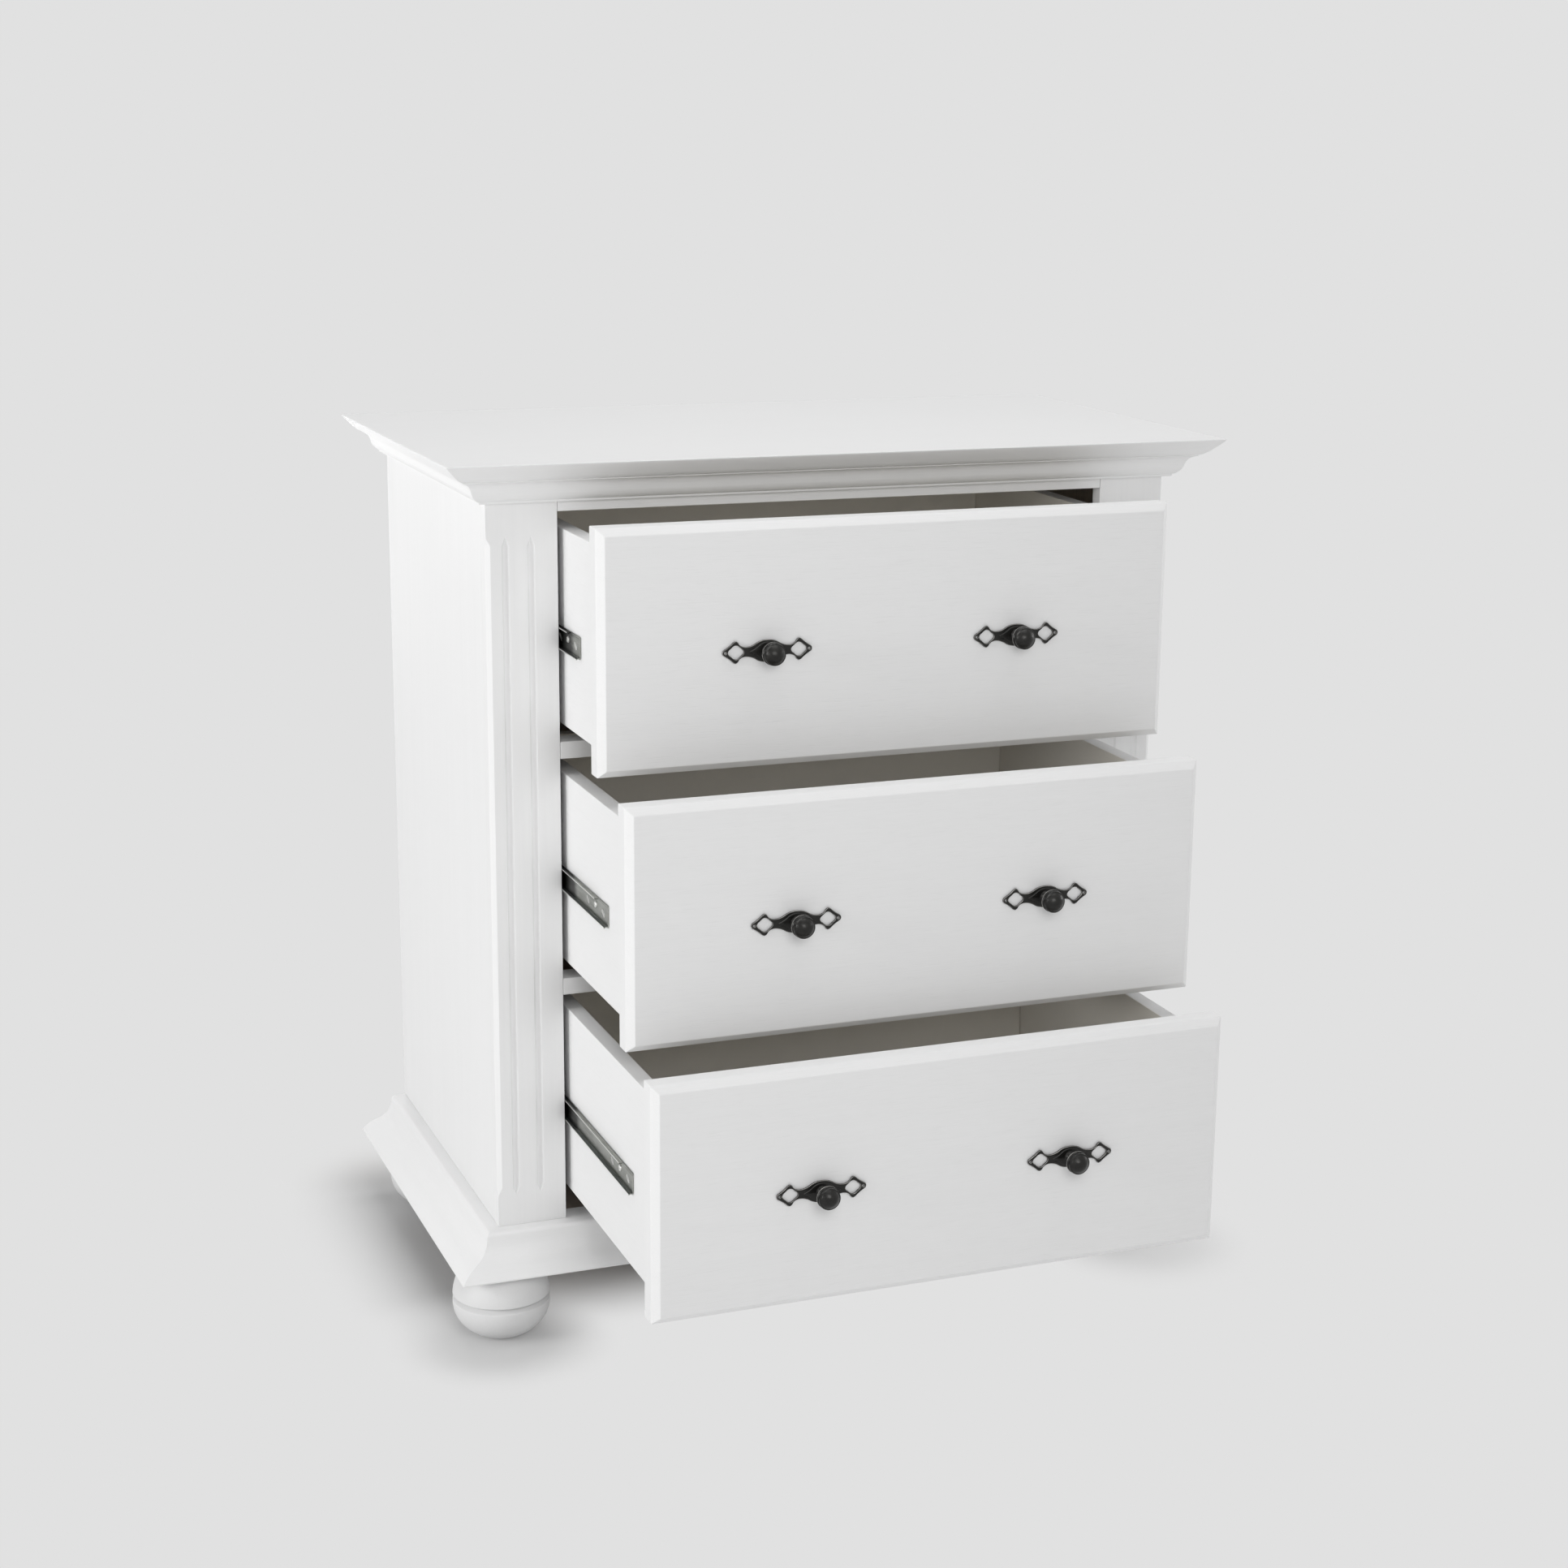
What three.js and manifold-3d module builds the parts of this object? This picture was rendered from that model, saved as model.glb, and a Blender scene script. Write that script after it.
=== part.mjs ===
// Chest of three drawers with a moulded top, fluted pilasters, a moulded plinth and bun feet.
// Lengths are millimetres and angles are degrees. While the case is laid out, x runs to the right
// from its middle, y runs to the back from the face of the pilasters, and z runs up from the floor.
import * as THREE from "three";
import { ConvexGeometry } from "three/addons/geometries/ConvexGeometry.js";
import { mergeVertices } from "three/addons/utils/BufferGeometryUtils.js";
import Module from "manifold-3d";

const wasm = await Module();
wasm.setup();

// Clearances
const seat = 0.3;
const overrun = 2;
const closedGap = 1;

// Case
const caseWidth = 800;
const caseDepth = 457;
const chestHeight = 988;
const panelThickness = 18;
const backThickness = 9;
const bottomThickness = 18;
const bottomDrop = 17;

// Top board
const topThickness = 19.5;
const topOverhang = 53;
const topEdgeDepth = 21.5;

// Moulding under the top board
const corniceHeight = 26;
const corniceProjection = 30.7;

// Plinth frame
const plinthHeight = 42.5;
const plinthProjection = 55.5;
const plinthFrontLedge = 25;

// Bun feet
const footHeight = 84.5;
const footRadius = 54.8;
const footInset = 57.5;
const backFootInset = 78;
const footTopRadius = 40;
const footBaseRadius = 22;
const footGrooveHeight = 46.5;
const footGrooveDepth = 3.6;
const footGrooveWidth = 7;

// Pilasters
const pilasterWidth = 78.5;
const pilasterThickness = 18;
const fluteWidth = 8;
const fluteDepth = 3;
const fluteInset = 21.3;
const fluteSpacing = 28;
const fluteTaper = 9;
const fluteBottomMargin = 36.5;
const fluteTopMargin = 63;
const cornerChamfer = 5;

// Rails between the pilasters
const topRailHeight = 38;
const dividerThickness = 19;
const dividerDepth = 31.5;

// Drawers
const frontOverlap = 4.75;
const frontThickness = 28;
const frontBevel = 8;
const frontSpacing = 9;
const frontTopMargin = 34;
const frontBottomMargin = 10.5;
const boxRearGap = 18;
const boxTopDrop = 23;
const boxBottomRise = 22;
const boxSideThickness = 18;
const boxBackThickness = 15;
const boxBottomThickness = 6;
const boxBottomLift = 12;
const boxGrooveDepth = 6;

// Drawer slides, two rolled members with balls in a cage between them
const slideThickness = 12.7;
const slideReveal = 6.5;
const slideLowering = 10.8;
const slideSheet = 1.2;
const slideBend = 1.5;
const slideSetback = 69;
const slideTravel = 310;
const drawerMemberHeight = 24;
const drawerMemberDepth = 5.7;
const drawerMemberRearInset = 7;
const raceDepth = 0.85;
const raceInset = 3.3;
const raceHalfWidth = 1.9;
const flangeSetback = 34;
const caseMemberHeight = 35;
const caseMemberLip = 0.9;
const slotLength = 11;
const slotWidth = 5;
const slotInset = 16.5;
const slotSpacing = 55;
const slotTurn = 35;
const bracketReach = 24;
const bracketSheet = 1.5;
const bracketStrap = 9.4;
const cageSheet = 0.8;
const cageLength = 90;
const cageLift = 2.3;
const ballPlay = 0.3;
const ballMargin = 12;

// Handles, each one casting with a pierced backplate and a turned knob
const handleSpacing = 286;
const handleLowering = 4.7;
const plateLength = 100;
const plateHeight = 24;
const plateThickness = 2.4;
const knobRadius = 12.8;
const knobProjection = 32;

// How far each drawer is pulled out
const upperOpening = 130.5;
const middleOpening = 222;
const lowerOpening = 302;
const drawers = [
  { name: "upper", opening: upperOpening },
  { name: "middle", opening: middleOpening },
  { name: "lower", opening: lowerOpening },
];
const sides = [
  { name: "left", sign: -1 },
  { name: "right", sign: 1 },
];

// Counts of flat steps on round work
const curveSteps = 5;
const footSteps = 24;
const footLobeSteps = 5;
const knobSteps = 16;
const plateCurveSteps = 2;
const plateHoleSteps = 16;
const tipHoleSteps = 8;
const slotSteps = 4;
const ballSteps = 6;
const ballRings = 4;
const ballsPerRow = 4;

// Outlines as shares of their width and height: a pair is the end of a straight stretch,
// and four numbers are the control point and the end of a curved one.
// A flute's rows are shares of its depth, width and taper, and a knob's are of its radius and height.
const topEdgeShares = [
  [0.78, 0.06, 0.465, 0.405],
  [0.13, 0.75, 0, 0.93],
  [0, 1],
];
const corniceShares = [
  [0.29, 0],
  [0.29, 0.095],
  [0.35, 0.105],
  [0.54, 0.24, 0.605, 0.46],
  [0.67, 0.83, 0.9, 0.93],
  [1, 0.965],
  [1, 1],
];
const plinthShares = [
  [1, 0],
  [1, 0.04],
  [0.87, 0.25, 0.63, 0.34],
  [0.37, 0.44, 0.33, 0.78],
  [0.32, 0.9],
  [0.3, 1, 0.22, 1],
];
const fluteShares = [
  [0, 1, 0],
  [0.8, 0.6, 0.4],
  [1, 0.2, 0.8],
];
const plateEdgeShares = [
  [0.17, 1, 0.28, 0.66],
  [0.38, 0.43, 0.49, 0.43],
  [0.59, 0.47, 0.63, 0.72],
  [0.65, 0.92, 0.7, 1],
  [0.75, 0.97, 0.79, 0.78],
  [0.86, 0.52, 0.95, 0.3],
  [1, 0.2, 1, 0],
];
const plateHolePlaceShare = 0.7;
const plateHoleLengthShare = 0.172;
const plateHoleHeightShare = 0.61;
const plateHoleLobeShare = 0.08;
const tipHolePlaceShare = 0.932;
const tipHoleShare = 0.1;
const knobShares = [
  [0.62, 0],
  [0.62, 0.08],
  [0.42, 0.14],
  [0.48, 0.24],
  [0.36, 0.35],
  [0.48, 0.46],
  [0.9, 0.56],
  [1, 0.61],
  [0.93, 0.67],
  [0.97, 0.78],
  [0.85, 0.83],
  [0.5, 0.96],
  [0, 1],
];

// Heights and places that follow from the sizes above
const caseHalf = caseWidth / 2;
const caseBase = footHeight + plinthHeight;
const topUnderside = chestHeight - topThickness;
const caseTop = topUnderside - seat;
const panelInside = caseHalf - panelThickness;
const openingHalf = caseHalf - pilasterWidth;
const boxHalf = openingHalf - slideReveal;
const boxInside = boxHalf - boxSideThickness;
const bottomTop = caseBase - bottomDrop;
const backFace = caseDepth - backThickness;
const frontWidth = 2 * (openingHalf + frontOverlap);
const firstFrontTop = topUnderside - frontTopMargin;
const lastFrontBottom = caseBase + frontBottomMargin;
const drawerPitch = (firstFrontTop - lastFrontBottom + frontSpacing) / drawers.length;
const frontHeight = drawerPitch - frontSpacing;
const boxDepth = backFace - boxRearGap;
const slideFace = boxHalf + seat;
const drawerMemberFront = slideSetback - closedGap;
const drawerMemberLength = boxDepth - drawerMemberRearInset - drawerMemberFront;
const cageFront = pilasterThickness + closedGap + slideTravel / 2;
const raceTop = drawerMemberHeight / 2 - raceDepth;
const ballRoom = caseMemberHeight / 2 - slideSheet - raceTop;
const ballRadius = ballRoom / 2 - ballPlay;
const ballHeight = raceTop + ballRoom / 2;

// Axes
const axisX = new THREE.Vector3(1, 0, 0);
const axisY = new THREE.Vector3(0, 1, 0);
const axisZ = new THREE.Vector3(0, 0, 1);

// Materials, a new one for each mesh
function whitePaint() {
  return new THREE.MeshStandardMaterial({ color: 0xf1f1ef, roughness: 0.45, metalness: 0 });
}

function bareBoard() {
  return new THREE.MeshStandardMaterial({ color: 0xcfc8bd, roughness: 0.7, metalness: 0 });
}

function blackIron() {
  return new THREE.MeshStandardMaterial({ color: 0x1b1a1c, roughness: 0.42, metalness: 0.8 });
}

function zincSteel() {
  return new THREE.MeshStandardMaterial({ color: 0xa9adb0, roughness: 0.32, metalness: 1 });
}

// Solids for cutting and joining
function solidOf(geometry) {
  const bare = geometry.clone();
  bare.deleteAttribute("normal");
  bare.deleteAttribute("uv");
  const merged = mergeVertices(bare);
  const corners = merged.index.array;
  const kept = [];
  for (let i = 0; i < corners.length; i += 3) {
    const [a, b, c] = [corners[i], corners[i + 1], corners[i + 2]];
    if (a !== b && b !== c && c !== a) kept.push(a, b, c);
  }
  const vertProperties = merged.attributes.position.array;
  return new wasm.Manifold(new wasm.Mesh({ numProp: 3, vertProperties, triVerts: Uint32Array.from(kept) }));
}

function geometryOf(solid) {
  const mesh = solid.getMesh();
  const geometry = new THREE.BufferGeometry();
  geometry.setAttribute("position", new THREE.BufferAttribute(mesh.vertProperties, 3));
  geometry.setIndex(new THREE.BufferAttribute(mesh.triVerts, 1));
  geometry.computeVertexNormals();
  return geometry;
}

// Boards, extrusions and outlines
function board([x0, x1], [y0, y1], [z0, z1]) {
  const geometry = new THREE.BoxGeometry(x1 - x0, y1 - y0, z1 - z0);
  geometry.translate((x0 + x1) / 2, (y0 + y1) / 2, (z0 + z1) / 2);
  return geometry;
}

function extruded(shape, depth, steps) {
  return new THREE.ExtrudeGeometry(shape, { depth, bevelEnabled: false, curveSegments: steps });
}

function alongX(shape, x0, x1, steps = curveSteps) {
  const geometry = extruded(shape, x1 - x0, steps);
  geometry.applyMatrix4(new THREE.Matrix4().makeBasis(axisY, axisZ, axisX));
  geometry.translate(x0, 0, 0);
  return geometry;
}

function alongY(shape, y0, y1, steps = curveSteps) {
  const geometry = extruded(shape, y1 - y0, steps);
  geometry.applyMatrix4(new THREE.Matrix4().makeBasis(axisX, axisZ, axisY.clone().negate()));
  geometry.translate(0, y1, 0);
  return geometry;
}

function alongZ(shape, z0, z1, steps = curveSteps) {
  const geometry = extruded(shape, z1 - z0, steps);
  geometry.translate(0, 0, z0);
  return geometry;
}

function polygon(points) {
  return new THREE.Shape(points.map(([x, y]) => new THREE.Vector2(x, y)));
}

function followShares(path, shares, width, height, startX = 0, startY = 0) {
  for (const share of shares) {
    const places = share.map((value, i) => (i % 2 ? startY + value * height : startX + value * width));
    if (share.length === 2) path.lineTo(...places);
    else path.quadraticCurveTo(...places);
  }
}

// Top board: its moulded section taken from front to back and from side to side, which mitres the corners
function topBoard() {
  const sideEdge = caseHalf + topOverhang;
  const frontSection = new THREE.Shape();
  frontSection.moveTo(caseDepth, topUnderside);
  frontSection.lineTo(topEdgeDepth - topOverhang, topUnderside);
  followShares(frontSection, topEdgeShares, topEdgeDepth, topThickness, -topOverhang, topUnderside);
  frontSection.lineTo(caseDepth, chestHeight);

  const leftEdge = new THREE.Path();
  leftEdge.moveTo(topEdgeDepth - sideEdge, topUnderside);
  followShares(leftEdge, topEdgeShares, topEdgeDepth, topThickness, -sideEdge, topUnderside);
  const leftPoints = leftEdge.getPoints(curveSteps);
  const rightPoints = leftPoints.map((point) => new THREE.Vector2(-point.x, point.y)).reverse();
  const sideSection = new THREE.Shape([...leftPoints, ...rightPoints]);

  const lengthwise = solidOf(alongX(frontSection, -sideEdge - overrun, sideEdge + overrun));
  const crosswise = solidOf(alongY(sideSection, -topOverhang - overrun, caseDepth + overrun));
  return geometryOf(lengthwise.intersect(crosswise));
}

// Mouldings: the section stands out from the case by its x, and a mitred end leans with it
function moulding(section, length, mitreStart, mitreEnd) {
  const mitreGap = seat / Math.SQRT2;
  const geometry = extruded(section, length, curveSteps);
  const position = geometry.attributes.position;
  for (let i = 0; i < position.count; i += 1) {
    const projection = position.getX(i);
    const isEnd = position.getZ(i) > length / 2;
    if (isEnd && mitreEnd) position.setZ(i, length + projection - mitreGap);
    if (!isEnd && mitreStart) position.setZ(i, mitreGap - projection);
  }
  geometry.computeVertexNormals();
  return geometry;
}

function corniceSection() {
  const section = new THREE.Shape();
  section.moveTo(seat, 0);
  followShares(section, corniceShares, corniceProjection, corniceHeight);
  section.lineTo(seat, corniceHeight);
  return section;
}

function plinthSection(ledge) {
  const section = new THREE.Shape();
  section.moveTo(-ledge, 0);
  followShares(section, plinthShares, plinthProjection, plinthHeight);
  section.lineTo(-ledge, plinthHeight);
  return section;
}

function addMouldings(parent, name, height, frontSection, sideSection) {
  const front = moulding(frontSection, caseWidth, true, true);
  const left = moulding(sideSection, caseDepth, true, false);
  const right = moulding(sideSection, caseDepth, false, true);
  const runs = [
    { end: "front", geometry: front, start: [caseHalf, 0, height], outward: axisY.clone().negate() },
    { end: "left", geometry: left, start: [-caseHalf, 0, height], outward: axisX.clone().negate() },
    { end: "right", geometry: right, start: [caseHalf, caseDepth, height], outward: axisX },
  ];
  for (const { end, geometry, start, outward } of runs) {
    const mesh = addMesh(parent, `${name}_${end}`, geometry, whitePaint());
    const along = outward.clone().cross(axisZ);
    mesh.quaternion.setFromRotationMatrix(new THREE.Matrix4().makeBasis(outward, axisZ, along));
    mesh.position.set(...start);
  }
}

// Bun foot: two elliptical lobes parted by a turned V groove
function footGeometry() {
  const lowerCentre = footGrooveHeight - footGrooveWidth;
  const lowerRise = lowerCentre / Math.sqrt(1 - (footBaseRadius / footRadius) ** 2);
  const upperRise = (footHeight - footGrooveHeight) / Math.sqrt(1 - (footTopRadius / footRadius) ** 2);
  const points = [new THREE.Vector2(0, 0)];
  const addLobe = (centre, rise, from, to) => {
    for (let i = 0; i <= footLobeSteps; i += 1) {
      const angle = from + (i / footLobeSteps) * (to - from);
      points.push(new THREE.Vector2(footRadius * Math.cos(angle), centre + rise * Math.sin(angle)));
    }
  };
  addLobe(lowerCentre, lowerRise, -Math.asin(lowerCentre / lowerRise), 0);
  points.push(new THREE.Vector2(footRadius, footGrooveHeight - footGrooveWidth / 2));
  points.push(new THREE.Vector2(footRadius - footGrooveDepth, footGrooveHeight));
  const upperStart = Math.asin(footGrooveWidth / 2 / upperRise);
  const upperEnd = Math.asin((footHeight - footGrooveHeight) / upperRise);
  addLobe(footGrooveHeight, upperRise, upperStart, upperEnd);
  points.push(new THREE.Vector2(0, footHeight));
  const geometry = new THREE.LatheGeometry(points, footSteps);
  geometry.rotateX(Math.PI / 2);
  geometry.scale(1, 1, (footHeight - seat) / footHeight);
  return geometry;
}

// Pilaster with two stopped flutes and a stopped chamfer on its outer corner, for the right side
function fluteCutter(x, z0, z1) {
  const rows = fluteShares.map(([depth, width, taper]) => ({
    y: depth * fluteDepth,
    half: width * fluteWidth / 2,
    taper: taper * fluteTaper,
  }));
  rows.push({ ...rows[0], y: -overrun });
  const points = [];
  for (const { y, half, taper } of rows) {
    for (const [end, inward] of [[z0 + taper, 1], [z1 - taper, -1]]) {
      const shoulder = end + inward * fluteTaper;
      points.push(new THREE.Vector3(x, y, end));
      points.push(new THREE.Vector3(x - half, y, shoulder));
      points.push(new THREE.Vector3(x + half, y, shoulder));
    }
  }
  return solidOf(new ConvexGeometry(points));
}

function chamferCutter(z0, z1) {
  const points = [];
  for (const z of [z0, z1]) {
    points.push(new THREE.Vector3(caseHalf, 0, z));
    points.push(new THREE.Vector3(caseHalf + overrun, -overrun, z));
  }
  for (const z of [z0 + fluteTaper, z1 - fluteTaper]) {
    points.push(new THREE.Vector3(caseHalf - cornerChamfer, 0, z));
    points.push(new THREE.Vector3(caseHalf, cornerChamfer, z));
  }
  return solidOf(new ConvexGeometry(points));
}

function pilasterGeometry(sign) {
  const z0 = caseBase + fluteBottomMargin;
  const z1 = topUnderside - fluteTopMargin;
  const blank = board([openingHalf, caseHalf], [0, pilasterThickness], [caseBase + seat, caseTop]);
  const outerFlute = fluteCutter(caseHalf - fluteInset, z0, z1);
  const innerFlute = fluteCutter(caseHalf - fluteInset - fluteSpacing, z0, z1);
  const cut = solidOf(blank).subtract(outerFlute).subtract(innerFlute).subtract(chamferCutter(z0, z1));
  return geometryOf(sign > 0 ? cut : cut.mirror([1, 0, 0]));
}

// Drawer front: a bevelled section upright and level, crossed
function drawerFront() {
  const half = frontWidth / 2;
  const bevelStart = frontBevel - frontThickness;
  const plan = polygon([
    [-half, 0],
    [-half, bevelStart],
    [frontBevel - half, -frontThickness],
    [half - frontBevel, -frontThickness],
    [half, bevelStart],
    [half, 0],
  ]);
  const upright = polygon([
    [0, 0],
    [bevelStart, 0],
    [-frontThickness, -frontBevel],
    [-frontThickness, frontBevel - frontHeight],
    [bevelStart, -frontHeight],
    [0, -frontHeight],
  ]);
  const level = solidOf(alongZ(plan, -frontHeight - overrun, overrun));
  const standing = solidOf(alongX(upright, -half - overrun, half + overrun));
  return geometryOf(level.intersect(standing));
}

// Rolled sheet: a centre line given for the upper half, mirrored and thickened
function rolledSection(upperHalf, thickness) {
  const upper = upperHalf.map(([x, z]) => new THREE.Vector2(x, z));
  const line = [...upper.map((point) => new THREE.Vector2(point.x, -point.y)).reverse(), ...upper];
  const leftSide = [];
  const rightSide = [];
  line.forEach((point, i) => {
    const before = point.clone().sub(line[Math.max(i - 1, 0)]).normalize();
    const after = line[Math.min(i + 1, line.length - 1)].clone().sub(point).normalize();
    const from = i === 0 ? after : before;
    const to = i === line.length - 1 ? before : after;
    const normalFrom = new THREE.Vector2(-from.y, from.x);
    const normalTo = new THREE.Vector2(-to.y, to.x);
    const mitre = normalFrom.clone().add(normalTo).divideScalar(1 + normalFrom.dot(normalTo));
    leftSide.push(point.clone().addScaledVector(mitre, thickness / 2));
    rightSide.push(point.clone().addScaledVector(mitre, -thickness / 2));
  });
  return new THREE.Shape([...leftSide, ...rightSide.reverse()]);
}

// Slide member on the drawer side: a channel with a ball race in each flange and two slanted slots.
// Its upper flange stops short of the front end.
function drawerMember() {
  const web = slideSheet / 2;
  const flange = drawerMemberHeight / 2 - web;
  const section = rolledSection([
    [web, flange - slideBend],
    [raceInset - raceHalfWidth, flange],
    [raceInset, flange - raceDepth],
    [raceInset + raceHalfWidth, flange],
    [drawerMemberDepth, flange],
  ], slideSheet);
  let solid = solidOf(alongY(section, 0, drawerMemberLength));
  for (const y of [slotInset, slotInset + slotSpacing]) {
    solid = solid.subtract(slotCutter(y));
  }
  const underFlange = flange - raceDepth - slideSheet;
  const cutWidth = [slideSheet + seat, drawerMemberDepth + overrun];
  const cutHeight = [underFlange, drawerMemberHeight / 2 + overrun];
  return solid.subtract(solidOf(board(cutWidth, [-overrun, flangeSetback], cutHeight)));
}

function slotCutter(y) {
  const reach = (slotLength - slotWidth) / 2;
  const slot = new THREE.Shape();
  slot.absarc(reach, 0, slotWidth / 2, -Math.PI / 2, Math.PI / 2, false);
  slot.absarc(-reach, 0, slotWidth / 2, Math.PI / 2, -Math.PI / 2, false);
  const cutter = extruded(slot, slideSheet + 2 * overrun, slotSteps);
  cutter.rotateZ(THREE.MathUtils.degToRad(slotTurn));
  cutter.applyMatrix4(new THREE.Matrix4().makeBasis(axisY, axisZ, axisX));
  cutter.translate(-overrun, y, 0);
  return solidOf(cutter);
}

// Slide member on the case: a deeper channel with a tab at the pilaster and a bracket at the back
function caseMember() {
  const web = slideThickness - slideSheet / 2;
  const flange = caseMemberHeight / 2 - slideSheet / 2;
  const section = rolledSection([
    [web, flange - slideBend],
    [web - slideBend, flange],
    [caseMemberLip + slideSheet / 2, flange],
    [caseMemberLip, flange - slideSheet],
  ], slideSheet);
  const front = pilasterThickness + seat;
  const back = backFace - seat;
  const webFace = slideThickness - slideSheet;
  const half = caseMemberHeight / 2 - slideBend - slideSheet;
  const channelEnd = back - bracketStrap;
  const tab = board([webFace, webFace + bracketReach], [front, front + bracketSheet], [-half, half]);
  const strap = board([webFace, slideThickness], [channelEnd - overrun, back], [-half, half]);
  const bracket = board([webFace, webFace + bracketReach], [back - bracketSheet, back], [-half, half]);
  const channel = solidOf(alongY(section, front, channelEnd));
  return channel.add(solidOf(tab)).add(solidOf(strap)).add(solidOf(bracket));
}

// Ball cage that runs between the two members
function ballCage() {
  const web = drawerMemberDepth + cageLift;
  const section = rolledSection([
    [web, ballHeight - slideBend],
    [web - slideBend, ballHeight],
    [raceInset - raceHalfWidth, ballHeight],
  ], cageSheet);
  let solid = solidOf(alongY(section, 0, cageLength));
  const pitch = (cageLength - 2 * ballMargin) / (ballsPerRow - 1);
  for (let i = 0; i < ballsPerRow; i += 1) {
    for (const row of [-1, 1]) {
      const ball = new THREE.SphereGeometry(ballRadius, ballSteps, ballRings);
      ball.translate(raceInset, ballMargin + i * pitch, row * ballHeight);
      solid = solid.add(solidOf(ball));
    }
  }
  return solid;
}

// Handle: pierced plate drawn as four mirrored quarters, with the knob turned on its middle
function plateOutline() {
  const quarter = new THREE.Path();
  quarter.moveTo(0, plateHeight / 2);
  followShares(quarter, plateEdgeShares, plateLength / 2, plateHeight / 2);
  const points = quarter.getPoints(plateCurveSteps);
  const inner = points.slice(1, -1);
  const mirrored = (list, sx, sy) => list.map((point) => new THREE.Vector2(point.x * sx, point.y * sy));
  return new THREE.Shape([
    ...points,
    ...mirrored(inner, 1, -1).reverse(),
    ...mirrored([points[0]], 1, -1),
    ...mirrored(inner, -1, -1),
    ...mirrored([points[points.length - 1]], -1, 1),
    ...mirrored(inner, -1, 1).reverse(),
  ]);
}

function plateHoles() {
  const holes = [];
  const halfLength = plateLength / 2;
  const halfHeight = plateHeight / 2;
  for (const sign of [-1, 1]) {
    const centre = sign * plateHolePlaceShare * halfLength;
    const points = [];
    for (let i = 0; i < plateHoleSteps; i += 1) {
      const angle = (i / plateHoleSteps) * 2 * Math.PI;
      const swell = 1 + plateHoleLobeShare * (Math.cos(4 * angle) - 1);
      const x = centre + plateHoleLengthShare * halfLength * swell * Math.cos(angle);
      points.push(new THREE.Vector2(x, plateHoleHeightShare * halfHeight * swell * Math.sin(angle)));
    }
    holes.push(new THREE.Path(points));
    const tip = new THREE.Path();
    tip.absarc(sign * tipHolePlaceShare * halfLength, 0, tipHoleShare * halfHeight, 0, 2 * Math.PI, false);
    holes.push(new THREE.Path(tip.getPoints(tipHoleSteps).slice(0, -1)));
  }
  return holes;
}

function handleGeometry() {
  const outline = plateOutline();
  outline.holes = plateHoles();
  const plate = alongY(outline, -plateThickness, 0);
  const profile = [new THREE.Vector2(0, 0)];
  for (const [radius, height] of knobShares) {
    profile.push(new THREE.Vector2(radius * knobRadius, height * knobProjection));
  }
  const knob = new THREE.LatheGeometry(profile, knobSteps);
  knob.rotateX(Math.PI);
  return geometryOf(solidOf(plate).add(solidOf(knob)));
}

// Scene graph
function addMesh(parent, name, geometry, material) {
  const mesh = new THREE.Mesh(geometry, material);
  mesh.name = name;
  parent.add(mesh);
  return mesh;
}

function addGroup(parent, y) {
  const group = new THREE.Group();
  group.position.y = y;
  parent.add(group);
  return group;
}

function addCase(parent) {
  addMesh(parent, "top_board", topBoard(), whitePaint());
  const sidePlinth = plinthSection(panelThickness);
  addMouldings(parent, "cornice", caseTop - corniceHeight, corniceSection(), corniceSection());
  addMouldings(parent, "plinth", footHeight, plinthSection(plinthFrontLedge), sidePlinth);

  for (const { name, sign } of sides) {
    const panelDepths = [pilasterThickness + seat, caseDepth];
    const panel = board([panelInside, caseHalf], panelDepths, [caseBase + seat, caseTop]);
    if (sign < 0) panel.translate(-caseHalf - panelInside, 0, 0);
    addMesh(parent, `side_panel_${name}`, panel, whitePaint());
    addMesh(parent, `pilaster_${name}`, pilasterGeometry(sign), whitePaint());
  }

  const railSpan = [seat - openingHalf, openingHalf - seat];
  const topRail = board(railSpan, [0, pilasterThickness], [topUnderside - topRailHeight, caseTop]);
  addMesh(parent, "top_rail", topRail, whitePaint());
  for (let i = 1; i < drawers.length; i += 1) {
    const middle = firstFrontTop - i * drawerPitch + frontSpacing / 2;
    const heights = [middle - dividerThickness / 2, middle + dividerThickness / 2];
    addMesh(parent, `divider_rail_${i}`, board(railSpan, [0, dividerDepth], heights), whitePaint());
  }

  const innerSpan = [seat - panelInside, panelInside - seat];
  const bottomDepths = [plinthFrontLedge + seat, caseDepth];
  const bottom = board(innerSpan, bottomDepths, [bottomTop - bottomThickness, bottomTop]);
  addMesh(parent, "bottom_board", bottom, bareBoard());
  const back = board(innerSpan, [backFace, caseDepth], [bottomTop + seat, caseTop]);
  addMesh(parent, "back_panel", back, bareBoard());

  const plinthHalf = caseHalf + plinthProjection;
  const footRows = [
    { row: "front", x: plinthHalf - footInset, y: footInset - plinthProjection },
    { row: "back", x: plinthHalf - backFootInset, y: caseDepth - footInset },
  ];
  for (const { row, x, y } of footRows) {
    for (const { name, sign } of sides) {
      const foot = addMesh(parent, `foot_${row}_${name}`, footGeometry(), whitePaint());
      foot.position.set(sign * x, y, 0);
    }
  }
}

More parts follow.
